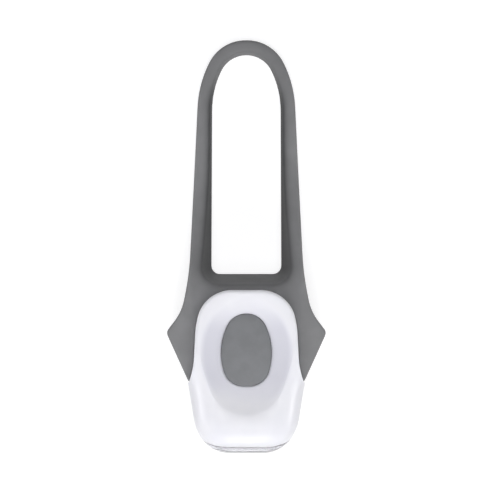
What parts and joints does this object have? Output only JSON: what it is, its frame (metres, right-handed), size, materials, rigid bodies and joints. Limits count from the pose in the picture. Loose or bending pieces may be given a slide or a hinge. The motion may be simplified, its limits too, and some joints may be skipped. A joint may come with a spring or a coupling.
{
  "type": "bike light",
  "caption": "Coin-cell bike light: a milky lamp module with an oval button, held in a grey silicone holder with pointed ears and a long strap loop.",
  "frame": {"origin": "centre of the handlebar saddle's mouth, in the plane of the holder's back, on the axis of the coin cells", "axes": "+X across the light, +Y towards the end of the strap loop, +Z out of the front, towards the button; the lens looks along -Y"},
  "size_m": [0.039, 0.1015, 0.0224],
  "materials": {
    "silicone": "soft matte moulded silicone",
    "milky_plastic": "smooth translucent white moulding",
    "clear_plastic": "clear polished lens",
    "seal_rubber": "soft seal",
    "bright_reflector": "metallised reflector",
    "led_resin": "clear epoxy",
    "board": "green solder resist",
    "black_parts": "moulded component body",
    "ceramic_tan": "ceramic chip",
    "spring_steel": "plated spring sheet",
    "button_rubber": "soft matte silicone",
    "cell_can": "nickel-plated steel",
    "cover_plastic": "fine moulded grain",
    "screw_steel": "plated small screws"
  },
  "bodies": {
    "holder": {"silicone_holder": "silicone"},
    "module": {"front_housing": "milky_plastic", "rear_housing": "milky_plastic", "housing_gasket": "seal_rubber", "end_lens": "clear_plastic", "lens_seal": "seal_rubber", "reflector": "bright_reflector", "led_left": "led_resin", "led_right": "led_resin", "circuit_board": "board", "controller_chip": "black_parts", "resistors": "black_parts", "capacitor": "ceramic_tan", "switch_body": "black_parts", "switch_frame": "spring_steel", "button_seal": "seal_rubber", "contact_leaf": "spring_steel", "contact_strip": "spring_steel", "coin_cell_outer": "cell_can", "coin_cell_inner": "cell_can", "housing_screws": "screw_steel", "board_screws": "screw_steel"},
    "button": {"button_cap": "button_rubber"},
    "plunger": {"switch_plunger": "black_parts"},
    "cover": {"battery_cover": "cover_plastic", "cover_o_ring": "seal_rubber"}
  },
  "joints": [
    {"name": "module_slide", "type": "slide", "parent": "holder", "child": "module", "axis": [0, -1, 0], "range_m": [0, 0.03]},
    {"name": "button_press", "type": "slide", "parent": "module", "child": "button", "axis": [0, 0, -1], "range_m": [0, 0.0005], "stiffness_N_per_m": 1000, "springref_m": -0.001},
    {"name": "plunger_press", "type": "slide", "parent": "module", "child": "plunger", "axis": [0, 0, -1], "range_m": [0, 0.0005]},
    {"name": "cover_turn", "type": "hinge", "parent": "module", "child": "cover", "pos_m": [0, 0, 0.0045], "axis": [0, 0, 1], "range_deg": [0, 30]}
  ],
  "couplings": [
    {"joint": "plunger_press", "follows": "button_press", "ratio": 1}
  ]
}
